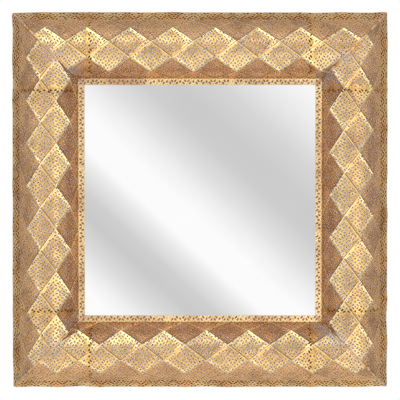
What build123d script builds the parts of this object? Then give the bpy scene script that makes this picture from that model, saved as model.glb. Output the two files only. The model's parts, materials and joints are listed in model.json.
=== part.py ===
from build123d import *

import os
from math import cos, radians, sin

# A square wall mirror. Its frame is a half-round moulding of perforated tin, folded into
# diamonds, on a backing board with battens. The four sides are one side turned by quarter
# turns, so the long pieces are modelled for the top side and then turned.
#
# +X is to the right and +Z is up for someone who looks at the glass. The front faces -Y.
# The origin is the centre of the wall plane, y = 0, and nothing reaches behind it.
# "level" is a height above the wall, towards the front, and "inset" is a distance from the
# frame's outer edge towards its centre.

# ---------------------------------------------------------------- driving dimensions, mm

# Frame, seen from the front
frame_size = 650.0
flank_width = 14.5  # from the outer edge to the moulding's outermost fold line
moulding_width = 100.5  # from there to the lip
lip_width = 11.0

# Folded moulding
fold_angle = 30.9  # between neighbouring fold lines, about the moulding's own axis
fold_lines = 6  # on the half-round
diamond_pitch = 73.3  # along the side
pattern_shift = -10.7  # of the pattern from the middle of the side, clockwise positive
foot_level = 5.0  # where the outer flank turns down to the wall
foot_wave = 1.5  # how far the foot draws in between two diamond tips
sheet = 0.8
seam_setback = 5.0  # of each lap seam from the corner of the glass opening
seam_lap = 8.0
flange_grip = 10.0  # how far the return flange reaches over the battens

# Backing
batten_setback = 0.5  # of the battens' outer edge from the outermost fold line
batten_width = 36.0
batten_depth = 12.0
board_thickness = 3.0
tape_thickness = 1.0
tape_width = 20.0
tape_end_margin = 27.0  # from the ends of the tape to the edge of the glass
tape_spacing = 100.0
tape_strips = 4

# Glass
glass_thickness = 3.0
glass_edge_gap = 2.0  # between the edge of the glass and the lip's leg
lip_clearance = 0.2  # between the glass and the lip
glass_bevel = 0.4

# Solder
solder_radius = 1.4
solder_depth = 0.9  # of the bead's axis below the fold points

# Screws: countersunk ones in the return flange, pan heads in the board
flange_screw_radius = 1.2
flange_screw_head_radius = 2.8
flange_screw_length = 9.0
flange_screw_end_margin = 22.0  # from a lap seam
flange_screw_corner_margin = 44.0  # from the end of the side
board_screw_radius = 1.5
board_screw_head_radius = 3.2
board_screw_head_height = 2.0
board_screw_length = 11.0
board_screw_span = 220.0
board_screw_setback = 6.5  # from the battens' inner edge
pan_head_rounding = 0.7  # as a share of the head's height
screw_clearance = 0.1

# Hanging rings, each on a thin block between two lengths of side batten
hanger_height = 150.0  # of the ring's pivot above the centre
hanger_recess = 6.0  # of the block's face below the battens' faces
hanger_end_margin = 2.5  # from the ring and the strap to the battens' ends
strap_width = 10.0
strap_thickness = 0.8
strap_length = 26.0
strap_standoff = 0.3  # between the strap's loop and the block
ring_wire_radius = 1.25
ring_bar_length = 15.5  # between the centres of the ring's two arms
ring_arm_length = 4.0
ring_corner_radius = 2.0
pivot_clearance = 0.1
hanger_screw_radius = 1.6
hanger_screw_head_radius = 3.3
hanger_screw_head_height = 1.8
hanger_screw_length = 6.5
hanger_screw_drop = 20.0  # below the pivot

# ---------------------------------------------------------------- levels and places

half = frame_size / 2
frame_width = flank_width + moulding_width + lip_width
batten_inset = flank_width - batten_setback
batten_size = frame_size - 2 * batten_inset
return_flange = batten_inset + flange_grip
flange_screw_inset = batten_inset + flange_grip / 2
seam_offset = half - frame_width - seam_setback
glass_size = frame_size - 2 * (frame_width - lip_width + sheet + glass_edge_gap)
batten_level = sheet
board_level = batten_level + batten_depth
tape_level = board_level + board_thickness
glass_level = tape_level + tape_thickness
lip_level = glass_level + glass_thickness + lip_clearance + sheet
lip_inset = frame_width - lip_width

last_line = fold_lines - 1
half_sweep = last_line / 2 * fold_angle
arc_radius = moulding_width / 2 / sin(radians(half_sweep))
arc_inset = lip_inset - moulding_width / 2
arc_level = lip_level - arc_radius * cos(radians(half_sweep))

mitre_at_finish = Plane(origin=(0, 0, 0), z_dir=(1, 0, -1))
mitre_at_start = Plane(origin=(0, 0, 0), z_dir=(-1, 0, -1))
wall_plane = Plane(origin=(0, 0, 0), z_dir=(0, -1, 0))

# For each side: the turn that takes the top side there, and the names of its two ends,
# first the one that is at the left of the top side
sides = {
    "top": (0, "left", "right"),
    "right": (90, "upper", "lower"),
    "bottom": (180, "right", "left"),
    "left": (270, "lower", "upper"),
}
corners = ["top_right", "bottom_right", "bottom_left", "top_left"]

os.makedirs("parts", exist_ok=True)


def save(part, name):
    part.label = name
    export_step(part, f"parts/{name}.step")


def slab(low, high, mode=Mode.ADD):
    """A box of the top side between two corners, each given as (along, inset, level)."""
    with Locations(
        ((low[0] + high[0]) / 2, -(low[2] + high[2]) / 2, half - (low[1] + high[1]) / 2)
    ):
        Box(high[0] - low[0], high[2] - low[2], high[1] - low[1], mode=mode)


# ---------------------------------------------------------------- folded moulding

# The fold points lie on fold lines that run along the side. Line -1 is the foot, and lines
# 0 to 5 are on the half-round, from its outer to its inner edge. Columns are half a pitch
# apart, and a fold point stands where line and column add up to an even number.


def fold_point(line, column, depth):
    """A point of the net, with the skin taken in by depth."""
    along = pattern_shift + column * diamond_pitch / 2
    if line < 0:
        inset = depth + (foot_wave if (line + column) % 2 else 0)
        level = foot_level
    else:
        angle = radians(line * fold_angle - half_sweep)
        inset = arc_inset + (arc_radius - depth) * sin(angle)
        level = arc_level + (arc_radius - depth) * cos(angle)
    return Vector(along, -level, half - inset)


def net_cells(columns):
    """The cells of the folded net, each as a loop of (line, column)."""
    for column in range(-columns, columns + 1):
        for line in range(last_line):
            if (line + column) % 2:
                yield [(line, column - 1), (line - 1, column), (line, column + 1), (line + 1, column)]
        if column % 2 == 0:
            yield [(0, column), (-1, column - 1), (-1, column)]
            yield [(0, column), (-1, column), (-1, column + 1)]
            yield [(last_line - 1, column), (last_line, column - 1), (last_line, column + 1)]


def saddle(first, second, third, fourth):
    """The hollowed diamond facet between four fold points."""
    return Face.make_surface_from_curves(
        Edge.make_line(first, second), Edge.make_line(fourth, third)
    )


def moulding_core(depth):
    """Everything behind the folded skin, for a skin taken in by depth."""
    columns = int(frame_size / diamond_pitch) + 2
    behind = 2 * sheet
    faces = []
    uses = {}
    for cell in net_cells(columns):
        points = [fold_point(line, column, depth) for line, column in cell]
        if len(points) == 4:
            faces.append(saddle(*points))
        else:
            faces.append(Face(Wire.make_polygon(points)))
        for edge in zip(cell, cell[1:] + cell[:1]):
            key = tuple(sorted(edge))
            uses[key] = uses.get(key, 0) + 1
    rim = []
    for key in [key for key, count in uses.items() if count == 1]:
        start, end = [fold_point(line, column, depth) for line, column in key]
        start_behind = Vector(start.X, behind, start.Z)
        end_behind = Vector(end.X, behind, end.Z)
        faces.append(Face(Wire.make_polygon([start, end, end_behind, start_behind])))
        rim.append(Edge.make_line(start_behind, end_behind))
    faces.append(Face(Wire(rim)))
    return Solid(Shell(faces))


outer_core = moulding_core(0)
inner_core = moulding_core(sheet)
lap_core = moulding_core(2 * sheet)
reach = frame_size  # longer than any piece


def stretch(core, start, finish):
    """The stretch of a core between two places along the side."""
    with BuildPart() as piece:
        add(core)
        split(bisect_by=Plane(origin=(start, 0, 0), z_dir=(1, 0, 0)), keep=Keep.TOP)
        split(bisect_by=Plane(origin=(finish, 0, 0), z_dir=(1, 0, 0)), keep=Keep.BOTTOM)
    return piece.part


def flange_of(start, finish):
    """The flange that the tin folds in against the wall."""
    within = stretch(outer_core, start, finish)
    with BuildPart() as flange:
        add(within)
        slab((start, 0, 0), (finish, return_flange, sheet), mode=Mode.INTERSECT)
    return flange.part


def flange_holes(places):
    """Countersunk holes through the flange, from the wall side."""
    for along in places:
        with Locations(
            Plane(origin=(along, 0, half - flange_screw_inset), z_dir=(0, 1, 0)).location
        ):
            CounterSinkHole(
                radius=flange_screw_radius + screw_clearance,
                counter_sink_radius=flange_screw_head_radius + screw_clearance,
                depth=flange_screw_length + screw_clearance,
                counter_sink_angle=90,
            )


def middle_panel(screw_places):
    skin = stretch(outer_core, -seam_offset, seam_offset)
    hollow = stretch(inner_core, -seam_offset, seam_offset)
    flange = flange_of(-seam_offset, seam_offset)
    with BuildPart() as panel:
        add(skin)
        add(hollow, mode=Mode.SUBTRACT)
        split(bisect_by=wall_plane, keep=Keep.TOP)
        slab((-reach, return_flange, 0), (reach, frame_width, tape_level), mode=Mode.SUBTRACT)
        add(flange)
        flange_holes(screw_places)
    return panel.part


def end_panel(direction, mitre, screw_places):
    """A mitred end, with a tongue that laps under the middle panel."""
    seam = direction * seam_offset
    tongue_tip = seam - direction * seam_lap
    tongue_root = seam + direction * seam_lap
    far = direction * reach
    tongue = sorted([tongue_tip, seam])
    skin = stretch(outer_core, *sorted([seam, far]))
    tongue_skin = stretch(inner_core, *tongue)
    hollow = stretch(inner_core, *sorted([tongue_root, far]))
    lap_hollow = stretch(lap_core, *sorted([tongue_tip, tongue_root]))
    flange = flange_of(*sorted([seam, far]))
    with BuildPart() as panel:
        add(skin)
        add(tongue_skin)
        add(hollow, mode=Mode.SUBTRACT)
        add(lap_hollow, mode=Mode.SUBTRACT)
        split(bisect_by=wall_plane, keep=Keep.TOP)
        slab((-reach, return_flange, 0), (reach, frame_width, tape_level), mode=Mode.SUBTRACT)
        slab((tongue[0], 0, 0), (tongue[1], return_flange, sheet), mode=Mode.SUBTRACT)
        add(flange)
        flange_holes(screw_places)
        split(bisect_by=mitre, keep=Keep.BOTTOM)
    return panel.part


# ---------------------------------------------------------------- tin panels

middle_screws = [-seam_offset + flange_screw_end_margin, 0, seam_offset - flange_screw_end_margin]
end_screws = [seam_offset + flange_screw_end_margin, half - flange_screw_corner_margin]

panel_shapes = [
    middle_panel(middle_screws),
    end_panel(-1, mitre_at_start, [-along for along in end_screws]),
    end_panel(1, mitre_at_finish, end_screws),
]
for side, (turn, start_name, finish_name) in sides.items():
    for shape, place in zip(panel_shapes, ["middle", start_name, finish_name]):
        with BuildPart() as panel:
            add(shape, rotation=(0, turn, 0))
        save(panel.part, f"{side}_panel_{place}")

# ---------------------------------------------------------------- lip round the glass

with BuildPart() as lip:
    slab((-half, lip_inset, lip_level - sheet), (half, frame_width, lip_level))
    slab((-half, lip_inset, tape_level), (half, lip_inset + sheet, lip_level - sheet))
    split(bisect_by=mitre_at_start, keep=Keep.BOTTOM)
    split(bisect_by=mitre_at_finish, keep=Keep.BOTTOM)
for side in sides:
    with BuildPart() as side_lip:
        add(lip.part, rotation=(0, sides[side][0], 0))
    save(side_lip.part, f"{side}_lip")

# ---------------------------------------------------------------- solder along the mitres


def mitre_point(line, depth):
    """A point of the bead's axis where a fold line meets the top right mitre."""
    point = fold_point(line, line, depth)
    return Vector(point.Z, point.Y, point.Z)


def lip_mitre_point(inset):
    """A point of the bead's axis over the lip, clear of the glass under it."""
    out = half - inset
    return Vector(out, -(lip_level - sheet + solder_radius), out)


bead_points = [mitre_point(-1, solder_radius)]
bead_points.extend(mitre_point(line, solder_depth) for line in range(last_line))
bead_points.append(lip_mitre_point(lip_inset))
bead_points.append(lip_mitre_point(frame_width - solder_radius))
with BuildPart() as bead:
    with BuildLine():
        bead_path = Polyline(*bead_points)
    with BuildSketch(Plane(origin=bead_path @ 0, z_dir=bead_path % 0)):
        Circle(solder_radius)
    sweep(path=bead_path, transition=Transition.RIGHT)
for quarter, corner in enumerate(corners):
    with BuildPart() as mitre_solder:
        add(bead.part, rotation=(0, 90 * quarter, 0))
    save(mitre_solder.part, f"mitre_solder_{corner}")

# ---------------------------------------------------------------- battens


def turned_places(places, inset):
    """The points of the four sides that are at these places along the top side."""
    points = []
    for quarter in range(4):
        for along in places:
            points.append(Vector(along, 0, half - inset).rotate(Axis.Y, 90 * quarter))
    return points


flange_screw_places = turned_places(
    [-along for along in end_screws] + middle_screws + end_screws, flange_screw_inset
)
board_screw_inset = batten_inset + batten_width - board_screw_setback
board_screw_places = turned_places([-board_screw_span, 0, board_screw_span], board_screw_inset)


def batten_holes():
    for place in flange_screw_places:
        with Locations(Plane(origin=(place.X, 0, place.Z), z_dir=(0, 1, 0)).location):
            CounterSinkHole(
                radius=flange_screw_radius + screw_clearance,
                counter_sink_radius=flange_screw_head_radius + screw_clearance,
                depth=flange_screw_length + screw_clearance,
                counter_sink_angle=90,
            )
    board_screw_tip = tape_level - board_screw_length - screw_clearance
    for place in board_screw_places:
        with Locations(
            Plane(origin=(place.X, -board_level, place.Z), z_dir=(0, -1, 0)).location
        ):
            Hole(board_screw_radius + screw_clearance, depth=board_level - board_screw_tip)


def batten(across, bottom, width, top, face_level):
    """A batten on the board between two heights, its wall side at a level."""
    with BuildPart() as piece:
        with BuildSketch(Plane.XZ.offset(face_level)):
            with Locations((across, (bottom + top) / 2)):
                Rectangle(width, top - bottom)
        extrude(amount=board_level - face_level)
        batten_holes()
    return piece.part


batten_centre = half - batten_inset - batten_width / 2
batten_edge = batten_centre + batten_width / 2
side_batten_end = batten_centre - batten_width / 2
save(batten(0, side_batten_end, batten_size, batten_edge, batten_level), "batten_top")
save(batten(0, -batten_edge, batten_size, -side_batten_end, batten_level), "batten_bottom")

hanger_offset = half - return_flange - (batten_inset + batten_width - return_flange) / 2
ring_top = hanger_height + ring_arm_length + ring_bar_length / 2 + ring_wire_radius
block_top = ring_top + hanger_end_margin
block_bottom = hanger_height - strap_length - hanger_end_margin
block_level = batten_level + hanger_recess
for name, sign in [("left", -1), ("right", 1)]:
    centre = sign * batten_centre
    upper = batten(centre, block_top, batten_width, side_batten_end, batten_level)
    save(upper, f"batten_{name}_upper")
    lower = batten(centre, -side_batten_end, batten_width, block_bottom, batten_level)
    save(lower, f"batten_{name}_lower")
    with BuildPart() as hanger_block:
        add(batten(centre, block_bottom, batten_width, block_top, block_level))
        with Locations(
            Plane(
                origin=(sign * hanger_offset, -block_level, hanger_height - hanger_screw_drop),
                z_dir=(0, 1, 0),
            ).location
        ):
            Hole(hanger_screw_radius + screw_clearance, depth=board_level - block_level)
    save(hanger_block.part, f"hanger_block_{name}")

# ---------------------------------------------------------------- board, tape and glass

with BuildPart() as backing_board:
    with BuildSketch(Plane.XZ.offset(board_level)):
        Rectangle(batten_size, batten_size)
    extrude(amount=board_thickness)
    for place in board_screw_places:
        with Locations(Plane(origin=(place.X, -tape_level, place.Z), z_dir=(0, -1, 0)).location):
            Hole(board_screw_radius + screw_clearance)
save(backing_board.part, "backing_board")

with BuildPart() as glass_tape:
    with BuildSketch(Plane.XZ.offset(tape_level)):
        with GridLocations(tape_spacing, 0, tape_strips, 1):
            Rectangle(tape_width, glass_size - 2 * tape_end_margin)
    extrude(amount=tape_thickness)
save(glass_tape.part, "glass_tape")

with BuildPart() as mirror_glass:
    with BuildSketch(Plane.XZ.offset(glass_level)):
        Rectangle(glass_size, glass_size)
    extrude(amount=glass_thickness)
    chamfer(mirror_glass.faces().sort_by(Axis.Y)[0].edges(), glass_bevel)
save(mirror_glass.part, "mirror_glass")

# ---------------------------------------------------------------- screws

# Each is turned about +Y, with its head's flat side at the origin and its tip towards -Y.


def countersunk_screw():
    shoulder = flange_screw_radius - flange_screw_head_radius
    with BuildPart() as screw:
        with BuildSketch():
            with BuildLine():
                Polyline(
                    (0, 0),
                    (flange_screw_head_radius, 0),
                    (flange_screw_radius, shoulder),
                    (flange_screw_radius, flange_screw_radius - flange_screw_length),
                    (0, -flange_screw_length),
                    close=True,
                )
            make_face()
        revolve(axis=Axis.Y)
    return screw.part


def pan_head_screw(head_radius, head_height, radius, length):
    with BuildPart() as screw:
        with BuildSketch():
            with BuildLine():
                Polyline(
                    (0, head_height),
                    (head_radius, head_height),
                    (head_radius, 0),
                    (radius, 0),
                    (radius, radius - length),
                    (0, -length),
                    close=True,
                )
            make_face()
        revolve(axis=Axis.Y)
        fillet(screw.faces().sort_by(Axis.Y)[-1].edges(), pan_head_rounding * head_height)
    return screw.part


flange_screw = countersunk_screw()
with BuildPart() as flange_screws:
    for place in flange_screw_places:
        with Locations((place.X, 0, place.Z)):
            add(flange_screw)
save(flange_screws.part, "flange_screws")

board_screw = pan_head_screw(
    board_screw_head_radius, board_screw_head_height, board_screw_radius, board_screw_length
)
with BuildPart() as board_screws:
    for place in board_screw_places:
        with Locations((place.X, -tape_level, place.Z)):
            add(board_screw, rotation=(180, 0, 0))
save(board_screws.part, "board_screws")

hanger_screw = pan_head_screw(
    hanger_screw_head_radius, hanger_screw_head_height, hanger_screw_radius, hanger_screw_length
)
strap_level = block_level - strap_thickness
with BuildPart() as hanger_screws:
    for along in [-hanger_offset, hanger_offset]:
        with Locations((along, -strap_level, hanger_height - hanger_screw_drop)):
            add(hanger_screw)
save(hanger_screws.part, "hanger_screws")

# ---------------------------------------------------------------- hanging rings

loop_inner_radius = ring_wire_radius + pivot_clearance
loop_outer_radius = loop_inner_radius + strap_thickness
pivot_level = block_level - strap_standoff - loop_outer_radius
strap_straight = strap_length - strap_width / 2
half_bar = ring_bar_length / 2

for name, sign in [("left", -1), ("right", 1)]:
    pivot = Vector(sign * hanger_offset, -pivot_level, hanger_height)
    with BuildPart() as strap:
        with BuildSketch(Plane.XZ.offset(strap_level)):
            with Locations((pivot.X, pivot.Z - strap_straight / 2)):
                Rectangle(strap_width, strap_straight)
            with Locations((pivot.X, pivot.Z - strap_straight)):
                Circle(strap_width / 2)
            with Locations((pivot.X, pivot.Z - hanger_screw_drop)):
                Circle(hanger_screw_radius + screw_clearance, mode=Mode.SUBTRACT)
        extrude(amount=strap_thickness)
        with BuildSketch(Plane.YZ.offset(pivot.X)):
            with Locations((pivot.Y, pivot.Z)):
                Circle(loop_outer_radius)
        extrude(amount=strap_width / 2, both=True)
        with BuildSketch(Plane.YZ.offset(pivot.X)):
            with Locations((pivot.Y, pivot.Z)):
                Circle(loop_inner_radius)
        extrude(amount=strap_width / 2, both=True, mode=Mode.SUBTRACT)
    save(strap.part, f"{name}_hanger_strap")

    with BuildPart() as ring:
        with BuildLine(Plane(origin=pivot, x_dir=(1, 0, 0), z_dir=(0, -1, 0))):
            FilletPolyline(
                (-half_bar, -ring_arm_length),
                (-half_bar, 0),
                (half_bar, 0),
                (half_bar, -ring_arm_length),
                radius=ring_corner_radius,
            )
            ThreePointArc(
                (half_bar, -ring_arm_length),
                (0, -ring_arm_length - half_bar),
                (-half_bar, -ring_arm_length),
            )
        with BuildSketch(
            Plane(
                origin=(pivot.X, pivot.Y, pivot.Z - ring_arm_length - half_bar), z_dir=(1, 0, 0)
            )
        ):
            Circle(ring_wire_radius)
        sweep()
    save(ring.part, f"{name}_ring")
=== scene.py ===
import json
import math
import random

import bmesh
import bpy
from mathutils import Matrix, Vector, noise
from mathutils.geometry import delaunay_2d_cdt


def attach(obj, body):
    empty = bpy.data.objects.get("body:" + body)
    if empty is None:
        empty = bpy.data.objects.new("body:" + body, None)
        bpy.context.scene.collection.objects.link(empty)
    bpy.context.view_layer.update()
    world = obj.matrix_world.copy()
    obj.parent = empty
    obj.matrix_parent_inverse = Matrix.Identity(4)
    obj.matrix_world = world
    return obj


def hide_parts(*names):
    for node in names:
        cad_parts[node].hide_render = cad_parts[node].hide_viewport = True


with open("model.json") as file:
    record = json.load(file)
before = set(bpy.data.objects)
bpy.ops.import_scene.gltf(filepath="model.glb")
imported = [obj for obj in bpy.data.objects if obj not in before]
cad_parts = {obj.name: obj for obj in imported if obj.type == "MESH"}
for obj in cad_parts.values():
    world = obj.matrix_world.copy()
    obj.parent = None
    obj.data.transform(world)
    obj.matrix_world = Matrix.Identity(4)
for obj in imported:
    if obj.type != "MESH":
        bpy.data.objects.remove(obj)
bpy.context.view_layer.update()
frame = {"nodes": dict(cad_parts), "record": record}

# A square wall mirror in a frame of folded, perforated gilt tin.
# Lengths here are in mm, as in the CAD, and Side.place() turns them into metres.
# "along" runs along a side, "inset" goes from the outer edge to the centre, and "level" is
# the height above the wall. The top side is described, and the others are turned from it.
#
# Fold lines 0 to 5 run along the half-round. Fold points stand on them in columns half a
# pitch apart, where line and column add up to an even number. A row of facets is named by the
# line of its outer points: -1 at the foot to 4 at the lip, and the crest is rows 1 and 2.

MM = 0.001

# ------------------------------ sizes of the frame, mm

HALF = 325.0
FRAME_WIDTH = 126.0
LIP_WIDTH = 11.0
MOULDING_WIDTH = 100.5
FOLD_ANGLE = 30.9
PITCH = 73.3
SHIFT = -10.7
FOOT_LEVEL = 5.0
FOOT_WAVE = 1.5
SHEET = 0.8
SKIN = 0.45  # thickness that the perforated sheet shows
FLANGE = 24.0
SEAM = 194.0
LAP = 8.0
LAP_RAMP = 7.0  # over which the lapped tongue comes up to the surface
LAP_GAP = 0.15
MITRE_GAP = 0.05
TAPE_LEVEL = 16.8
LIP_LEVEL = 20.8
LAST = 5  # fold line, at the lip
CORNER = 5.0  # radius of the outer corners, seen from in front
BULGE = [0.0, 0.8, 2.6, 2.6, 1.4]  # of a facet's middle, by its row from -1 to 3

LEG = LIP_LEVEL - TAPE_LEVEL
LIP_INSET = FRAME_WIDTH - LIP_WIDTH
HALF_SWEEP = LAST / 2 * FOLD_ANGLE
RADIUS = MOULDING_WIDTH / 2 / math.sin(math.radians(HALF_SWEEP))
ARC_INSET = LIP_INSET - MOULDING_WIDTH / 2
ARC_LEVEL = LIP_LEVEL - RADIUS * math.cos(math.radians(HALF_SWEEP))

# Perforation. Rosettes stand on the corners and the centre of a cell of this size. Each is a
# round hole in a diamond of slots, with more slots and a few round holes between them.
# A hole is (along, across, length, width, turn), and its mirror images belong with it.
CELL = (22.7, 30.6)
SLANT = math.degrees(math.atan2(CELL[1], CELL[0]))
MOTIF = [
    (0.0, 0.0, 2.5, 2.5, 0),
    (2.85, 3.85, 4.5, 2.3, -SLANT),
    (CELL[0] / 4, CELL[1] / 4, 4.7, 2.3, -SLANT),
    (8.15, 0.0, 2.9, 2.9, 0),
    (0.0, 10.2, 3.6, 2.6, 90),
]
HOLE_SIDES = 10
HOLE_GROW = [-0.1, -0.1, 0.2, 0.2, -0.1, -0.1]  # of a hole's radius, by row from -1 to 4
HOLE_GROW_LAP = 0.45
HOLE_GROW_FOOT = 0.5
HOLE_GROW_LIP = 0.4
RIDGE_MARGIN = 2.2  # a hole's centre keeps this far from the folds between crest facets
FOLD_MARGIN = 0.8  # and this far from the others

SIDES = {
    "top": (0, "left", "right"),
    "right": (90, "upper", "lower"),
    "bottom": (180, "right", "left"),
    "left": (270, "lower", "upper"),
}

# ------------------------------ the folded sheet

# The sheet is laid out flat: u along the side, and w across it, measured on the sheet.
# Lines: -3 flange edge, -2 wall edge, -1 foot, 0 to 5 fold lines, 6 end of the inner leg.
FLANK = 21.6  # from the foot to the first fold line
LINE_PITCH = 27.0  # from one fold line to the next
LINE_STOPS = [-3, -2, -1, 0, LAST, LAST + 1]
WIDTH_STOPS = [
    -FLANK - FOOT_LEVEL - FLANGE, -FLANK - FOOT_LEVEL, -FLANK, 0.0,
    LAST * LINE_PITCH, LAST * LINE_PITCH + LEG,
]
BOTTOM = WIDTH_STOPS[0]
TOP = WIDTH_STOPS[-1]
FACET_SPAN = 2 / math.hypot(2 / PITCH, 1 / LINE_PITCH)  # between opposite folds of a facet
NET_SHIFT = 20  # keeps the net's two coordinates above zero in its UV layer
SHARP_ANGLE = 40


def ramp(x, xs, ys):
    """y at x on the line through the points (xs, ys)."""
    for x0, x1, y0, y1 in zip(xs, xs[1:], ys, ys[1:]):
        if x <= x1:
            break
    return y0 + (y1 - y0) * (x - x0) / (x1 - x0)


def width_at(line):
    return ramp(line, LINE_STOPS, WIDTH_STOPS)


def line_at(w):
    return ramp(w, WIDTH_STOPS, LINE_STOPS)


def along_at(column):
    return SHIFT + column * PITCH / 2


def column_at(u):
    return (u - SHIFT) * 2 / PITCH


class Side:
    """The folded skin of one side, with the small unevenness of hand folding."""

    def __init__(self, name, turn):
        self.name = name
        self.turn = math.radians(turn)
        self.points = {}

    def fold_point(self, line, column, depth):
        """(along, inset, level) of a point of the net, with the skin taken in by depth."""
        key = (line, column, depth)
        if key not in self.points:
            chance = random.Random(f"{self.name} {line} {column}")
            along = along_at(column) + chance.uniform(-0.8, 0.8)
            uneven = chance.uniform(-0.5, 0.3)
            if line < 0:
                wave = FOOT_WAVE if (line + column) % 2 else 0
                point = (along, depth + wave - uneven, FOOT_LEVEL)
            else:
                angle = math.radians(line * FOLD_ANGLE - HALF_SWEEP)
                angle += math.radians(chance.uniform(-0.6, 0.6)) if line < LAST else 0
                radius = RADIUS - depth + (uneven if line < LAST else 0)
                point = (
                    along,
                    ARC_INSET + radius * math.sin(angle),
                    ARC_LEVEL + radius * math.cos(angle),
                )
            self.points[key] = Vector(point)
        return self.points[key]

    def edge_point(self, line, column, step, depth):
        """A point between neighbouring net points on a straight edge of the net."""
        low = math.floor(column)
        if step == 2:
            low = math.floor((column - line) / 2) * 2 + line
        t = (column - low) / step
        return self.fold_point(line, low, depth).lerp(self.fold_point(line, low + step, depth), t)

    def skin_point(self, u, w, depth):
        """(along, inset, level) of a place on the sheet, with the skin taken in by depth."""
        column = column_at(u)
        line = line_at(w)
        if line < -1:
            foot = self.edge_point(-1, column, 1, depth)
            rise = max(0, line + 2)
            out = max(0, -2 - line)
            level = depth + (FOOT_LEVEL - depth) * rise
            return Vector((foot.x, foot.y + (FLANGE - foot.y) * out, level))
        if line >= LAST:
            rim = self.edge_point(LAST, column, 2, depth)
            return rim - Vector((0, 0, LEG * (line - LAST)))
        a = (column + line) / 2
        b = (line - column) / 2
        a0 = math.floor(a + 1e-6)
        b0 = math.floor(b + 1e-6)
        p = a - a0
        q = b - b0
        s_line = a0 + b0
        s_column = a0 - b0
        if s_line < -1:
            apex = self.fold_point(0, s_column, depth)
            middle = self.fold_point(-1, s_column, depth)
            offset = column - s_column
            side = self.fold_point(-1, s_column + (1 if offset > 0 else -1), depth)
            rise = line + 1
            return apex * rise + side * abs(offset) + middle * (1 - rise - abs(offset))
        south = self.fold_point(s_line, s_column, depth)
        east = self.fold_point(s_line + 1, s_column + 1, depth)
        west = self.fold_point(s_line + 1, s_column - 1, depth)
        if s_line == LAST - 1:
            fall = LAST - line
            offset = column - s_column
            return (
                south * fall + east * (1 - fall + offset) / 2 + west * (1 - fall - offset) / 2
            )
        north = self.fold_point(s_line + 2, s_column, depth)
        facet = (south * (1 - q) + west * q) * (1 - p) + (east * (1 - q) + north * q) * p
        angle = math.radians(line * FOLD_ANGLE - HALF_SWEEP)
        bulge = 16 * p * (1 - p) * q * (1 - q) * BULGE[s_line + 1]
        return facet + Vector((0, math.sin(angle), math.cos(angle))) * bulge

    def place(self, point, depth=0.0):
        """Metres in the frame, from (along, inset, level) on this side."""
        x = point.x
        z = HALF - point.y
        middle = HALF - CORNER
        out = Vector((abs(x) - middle, z - middle))
        if min(out) > 0 and out.length > CORNER - depth:
            out *= (CORNER - depth) / out.length
            x = math.copysign(middle + out.x, x)
            z = middle + out.y
        return Vector((
            x * math.cos(self.turn) + z * math.sin(self.turn),
            -point.z,
            z * math.cos(self.turn) - x * math.sin(self.turn),
        )) * MM


SIDE = {name: Side(name, turn) for name, (turn, _, _) in SIDES.items()}
FLAT = Side("even", 0)


def mitre_along(w, direction):
    """Where a side's sheet meets its mitre, at the start (-1) or the finish (1)."""
    u = (HALF - 60) * direction  # near enough for the steps below to settle
    for _ in range(8):
        at = FLAT.skin_point(u, w, 0)
        u += (HALF - at.y - abs(at.x)) * direction
    return u


def creases():
    """The folds, as pairs of (u, w)."""
    folds = []
    reach = math.ceil(HALF * 2 / PITCH) + 1
    for line in range(-1, LAST):
        for column in range(-reach, reach + 1):
            if (line + column) % 2 == 0:
                here = (along_at(column), width_at(line))
                for step in (-1, 1):
                    folds.append((here, (along_at(column + step), width_at(line + 1))))
            elif line == -1:
                here = (along_at(column), width_at(-1))
                folds.append((here, (along_at(column), width_at(0))))
    for line in (-2, -1, LAST):
        ends = (along_at(-reach), width_at(line)), (along_at(reach), width_at(line))
        folds.append(ends)
    return folds


def row_at(u, w):
    """The row of the facet at a place on the sheet. The foot's triangles count as row -1."""
    column = column_at(u)
    line = line_at(w)
    row = math.floor((column + line) / 2) + math.floor((line - column) / 2)
    return min(4, max(-1, row))


def clear_of_folds(u, w):
    """Whether a hole with its centre at a place on the sheet keeps off the folds."""
    line = line_at(w)
    if not -1 <= line <= LAST:
        return True
    column = column_at(u)
    p, q = ((column + line) / 2 % 1, (line - column) / 2 % 1)
    from_outer = min(p, q) * FACET_SPAN
    from_inner = min(1 - p, 1 - q) * FACET_SPAN
    crest = not SEAM - LAP < abs(u) < SEAM
    outer_margin = RIDGE_MARGIN if crest and row_at(u, w) == 2 else FOLD_MARGIN
    inner_margin = RIDGE_MARGIN if crest and row_at(u, w) == 1 else FOLD_MARGIN
    return from_outer > outer_margin and from_inner > inner_margin


def slot_loop(u, w, length, width, turn, grow):
    """A slot with round ends, as a loop of (u, w)."""
    straight = (length - width) / 2
    radius = width / 2 + grow
    axis = Vector((math.cos(math.radians(turn)), math.sin(math.radians(turn))))
    side = Vector((-axis.y, axis.x))
    loop = []
    for k in range(HOLE_SIDES):
        angle = math.tau * (k + 0.5) / HOLE_SIDES
        reach = math.copysign(straight, math.cos(angle)) + radius * math.cos(angle)
        point = Vector((u, w)) + axis * reach + side * radius * math.sin(angle)
        loop.append((point.x, point.y))
    return loop


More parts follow.
